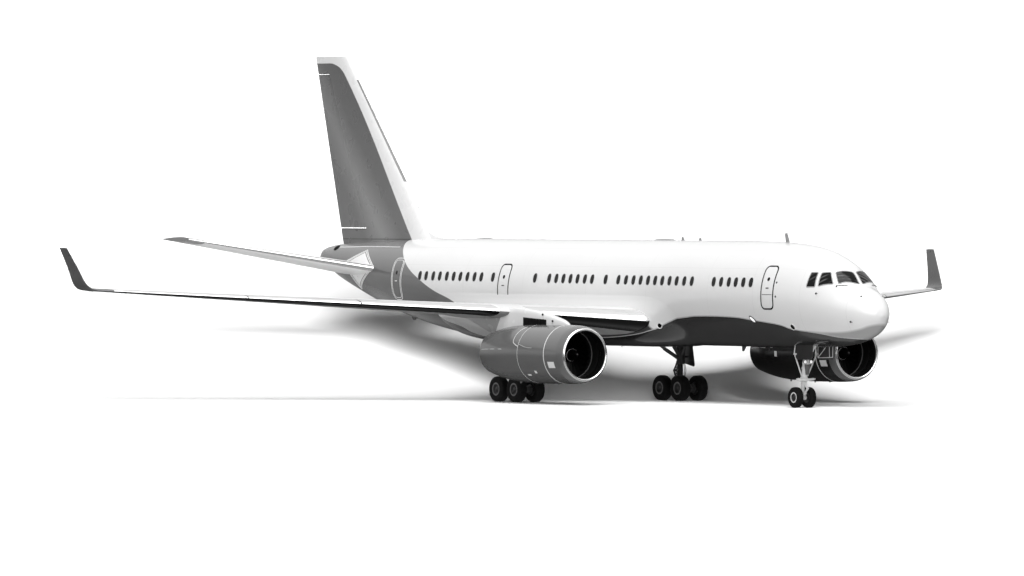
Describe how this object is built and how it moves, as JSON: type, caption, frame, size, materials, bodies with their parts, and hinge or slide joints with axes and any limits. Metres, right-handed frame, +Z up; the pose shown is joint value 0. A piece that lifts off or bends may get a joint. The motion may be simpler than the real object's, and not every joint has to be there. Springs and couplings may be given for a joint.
{
  "type": "twin-engined airliner, 1:2 scale model",
  "caption": "Narrow-body airliner on its landing gear, with underwing turbofans, slotted swept wings, winglets, hinged control surfaces and steered nose wheels, at half size.",
  "frame": {"origin": "on the ground, under the centre of the airliner's bounding box", "axes": "+X to port along the span, -Y forward to the nose, +Z up"},
  "size_m": [20.9278, 20.095, 6.94],
  "materials": {
    "white_paint": "gloss",
    "grey_paint": "gloss",
    "dark_paint": "satin",
    "wing_skin": "satin",
    "bare_alloy": "polished",
    "engine_metal": "brushed",
    "fan_metal": "satin",
    "gear_steel": "satin",
    "white_gear": "gloss",
    "tyre": "matt",
    "window_glass": "gloss",
    "lamp_glass": "clear"
  },
  "bodies": {
    "airframe": {"nose_radome": "white_paint", "forward_fuselage": "white_paint", "main_fuselage": "white_paint", "tail_cone": "grey_paint", "wing_body_fairing": "grey_paint", "door_front_port": "white_paint", "door_front_starboard": "white_paint", "door_mid_port": "white_paint", "door_mid_starboard": "white_paint", "door_rear_port": "grey_paint", "door_rear_starboard": "grey_paint", "wing_port": "wing_skin", "wing_starboard": "wing_skin", "winglet_port": "grey_paint", "winglet_starboard": "grey_paint", "inner_slat_port": "bare_alloy", "inner_slat_starboard": "bare_alloy", "outer_slat_port": "bare_alloy", "outer_slat_starboard": "bare_alloy", "inner_flap_port": "wing_skin", "inner_flap_starboard": "wing_skin", "outer_flap_port": "wing_skin", "outer_flap_starboard": "wing_skin", "fin": "grey_paint", "tailplane_port": "white_paint", "tailplane_starboard": "white_paint", "pylon_port": "white_paint", "pylon_starboard": "white_paint", "intake_lip_port": "bare_alloy", "intake_lip_starboard": "bare_alloy", "nacelle_cowl_port": "grey_paint", "nacelle_cowl_starboard": "grey_paint", "engine_core_port": "engine_metal", "engine_core_starboard": "engine_metal", "main_leg_port": "gear_steel", "main_leg_starboard": "gear_steel", "main_gear_door_port": "dark_paint", "main_gear_door_starboard": "dark_paint", "bogie_beam_port": "gear_steel", "bogie_beam_starboard": "gear_steel", "nose_leg": "white_gear", "nose_gear_door_port": "white_paint", "nose_gear_door_starboard": "white_paint"},
    "rudder": {"rudder": "grey_paint"},
    "elevator_port": {"elevator_port": "white_paint"},
    "elevator_starboard": {"elevator_starboard": "white_paint"},
    "aileron_port": {"aileron_port": "wing_skin"},
    "aileron_starboard": {"aileron_starboard": "wing_skin"},
    "spoiler_port": {"spoiler_port": "wing_skin"},
    "spoiler_starboard": {"spoiler_starboard": "wing_skin"},
    "fan_port": {"fan_port": "fan_metal"},
    "fan_starboard": {"fan_starboard": "fan_metal"},
    "main_wheels_front_port": {"main_wheels_front_port": "tyre"},
    "main_wheels_rear_port": {"main_wheels_rear_port": "tyre"},
    "main_wheels_front_starboard": {"main_wheels_front_starboard": "tyre"},
    "main_wheels_rear_starboard": {"main_wheels_rear_starboard": "tyre"},
    "nose_steering": {"nose_fork": "white_gear"},
    "nose_wheels": {"nose_wheels": "tyre"}
  },
  "joints": [
    {"name": "rudder_swing", "type": "hinge", "parent": "airframe", "child": "rudder", "pos_m": [0, 8.03693, 3.3975], "axis": [0, 0.4201, 0.9075], "range_deg": [-25, 25]},
    {"name": "elevator_port_swing", "type": "hinge", "parent": "airframe", "child": "elevator_port", "pos_m": [0.7975, 8.37957, 2.60373], "axis": [0.8999, 0.4017, 0.1696], "range_deg": [-20, 27]},
    {"name": "elevator_starboard_swing", "type": "hinge", "parent": "airframe", "child": "elevator_starboard", "pos_m": [-0.7975, 8.37957, 2.60373], "axis": [0.8999, -0.4017, -0.1696], "range_deg": [-20, 27]},
    {"name": "aileron_port_swing", "type": "hinge", "parent": "airframe", "child": "aileron_port", "pos_m": [7.1975, 1.25415, 2.02031], "axis": [0.9239, 0.3786, 0.0549], "range_deg": [-20, 25]},
    {"name": "aileron_starboard_swing", "type": "hinge", "parent": "airframe", "child": "aileron_starboard", "pos_m": [-7.1975, 1.25415, 2.02031], "axis": [0.9239, -0.3786, -0.0549], "range_deg": [-20, 25]},
    {"name": "spoiler_port_lift", "type": "hinge", "parent": "airframe", "child": "spoiler_port", "pos_m": [3.91125, -0.46093, 1.93362], "axis": [0.9103, 0.4118, 0.0416], "range_deg": [0, 50]},
    {"name": "spoiler_starboard_lift", "type": "hinge", "parent": "airframe", "child": "spoiler_starboard", "pos_m": [-3.91125, -0.46093, 1.93362], "axis": [0.9103, -0.4118, -0.0416], "range_deg": [0, 50]},
    {"name": "fan_port_spin", "type": "hinge", "parent": "airframe", "child": "fan_port", "pos_m": [3.221, -4.7325, 0.996], "axis": [0, 1, 0], "continuous": true},
    {"name": "fan_starboard_spin", "type": "hinge", "parent": "airframe", "child": "fan_starboard", "pos_m": [-3.221, -4.7325, 0.996], "axis": [0, 1, 0], "continuous": true},
    {"name": "main_wheels_front_port_roll", "type": "hinge", "parent": "airframe", "child": "main_wheels_front_port", "pos_m": [1.955, -0.7545, 0.25186], "axis": [1, 0, 0], "continuous": true},
    {"name": "main_wheels_rear_port_roll", "type": "hinge", "parent": "airframe", "child": "main_wheels_rear_port", "pos_m": [1.955, -0.1235, 0.25186], "axis": [1, 0, 0], "continuous": true},
    {"name": "main_wheels_front_starboard_roll", "type": "hinge", "parent": "airframe", "child": "main_wheels_front_starboard", "pos_m": [-1.955, -0.7545, 0.25186], "axis": [1, 0, 0], "continuous": true},
    {"name": "main_wheels_rear_starboard_roll", "type": "hinge", "parent": "airframe", "child": "main_wheels_rear_starboard", "pos_m": [-1.955, -0.1235, 0.25186], "axis": [1, 0, 0], "continuous": true},
    {"name": "nose_steer", "type": "hinge", "parent": "airframe", "child": "nose_steering", "pos_m": [0, -7.4065, 0.20001], "axis": [0, -0.1696, 0.9855], "range_deg": [-60, 60]},
    {"name": "nose_wheels_roll", "type": "hinge", "parent": "nose_steering", "child": "nose_wheels", "pos_m": [0, -7.4065, 0.20001], "axis": [1, 0, 0], "continuous": true}
  ]
}
